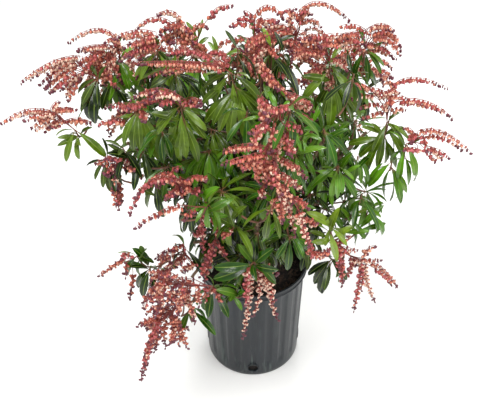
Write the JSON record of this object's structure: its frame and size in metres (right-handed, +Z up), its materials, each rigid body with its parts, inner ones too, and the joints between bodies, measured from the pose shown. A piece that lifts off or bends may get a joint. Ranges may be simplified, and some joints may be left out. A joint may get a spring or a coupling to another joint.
{
  "type": "potted japanese andromeda shrub",
  "caption": "Broad evergreen shrub in bud, with drooping rosettes of narrow leaves and arching sprays of rose buds, rooted in a black fluted nursery can.",
  "frame": {"origin": "centre of the can's flat underside", "axes": "+Z up along the can's axis, -Y the front that the picture shows, +X to the right seen from the front"},
  "size_m": [0.9121, 0.7219, 0.8997],
  "materials": {
    "black_plastic": "satin black with a blue-grey cast, scuffed",
    "potting_mix": "dark crumbly bark compost",
    "bark": "rough grey-brown bark",
    "foliage": "glossy dark green leaves with rose bud sprays"
  },
  "bodies": {
    "root": {"nursery_can": "black_plastic", "potting_mix": "potting_mix", "trunk": "bark", "bough_left": "bark", "bough_upper_left": "bark", "bough_left_middle": "bark", "bough_low_left": "bark", "bough_front_left": "bark", "bough_low_front_left": "bark", "bough_crown_left": "bark", "bough_front": "bark", "bough_front_high": "bark", "bough_inner_left": "bark", "bough_inner_right": "bark", "bough_over_rim": "bark", "bough_crown_front": "bark", "bough_low_right": "bark", "bough_right_low": "bark", "bough_right": "bark", "bough_right_tip": "bark", "bough_right_high": "bark", "bough_centre": "bark", "bough_top_left": "bark", "bough_top_right": "bark", "bough_back": "bark", "bough_back_high": "bark", "bough_back_left": "bark", "bough_low_back_left": "bark", "bough_low_back": "bark", "bough_back_right": "bark", "bough_low_back_right": "bark", "foliage_left": "foliage", "foliage_upper_left": "foliage", "foliage_left_middle": "foliage", "foliage_low_left": "foliage", "foliage_front_left": "foliage", "foliage_low_front_left": "foliage", "foliage_crown_left": "foliage", "foliage_front": "foliage", "foliage_front_high": "foliage", "foliage_inner_left": "foliage", "foliage_inner_right": "foliage", "foliage_over_rim": "foliage", "foliage_crown_front": "foliage", "foliage_low_right": "foliage", "foliage_right_low": "foliage", "foliage_right": "foliage", "foliage_right_tip": "foliage", "foliage_right_high": "foliage", "foliage_centre": "foliage", "foliage_top_left": "foliage", "foliage_top_right": "foliage", "foliage_back": "foliage", "foliage_back_high": "foliage", "foliage_back_left": "foliage", "foliage_low_back_left": "foliage", "foliage_low_back": "foliage", "foliage_back_right": "foliage", "foliage_low_back_right": "foliage"}
  },
  "joints": []
}
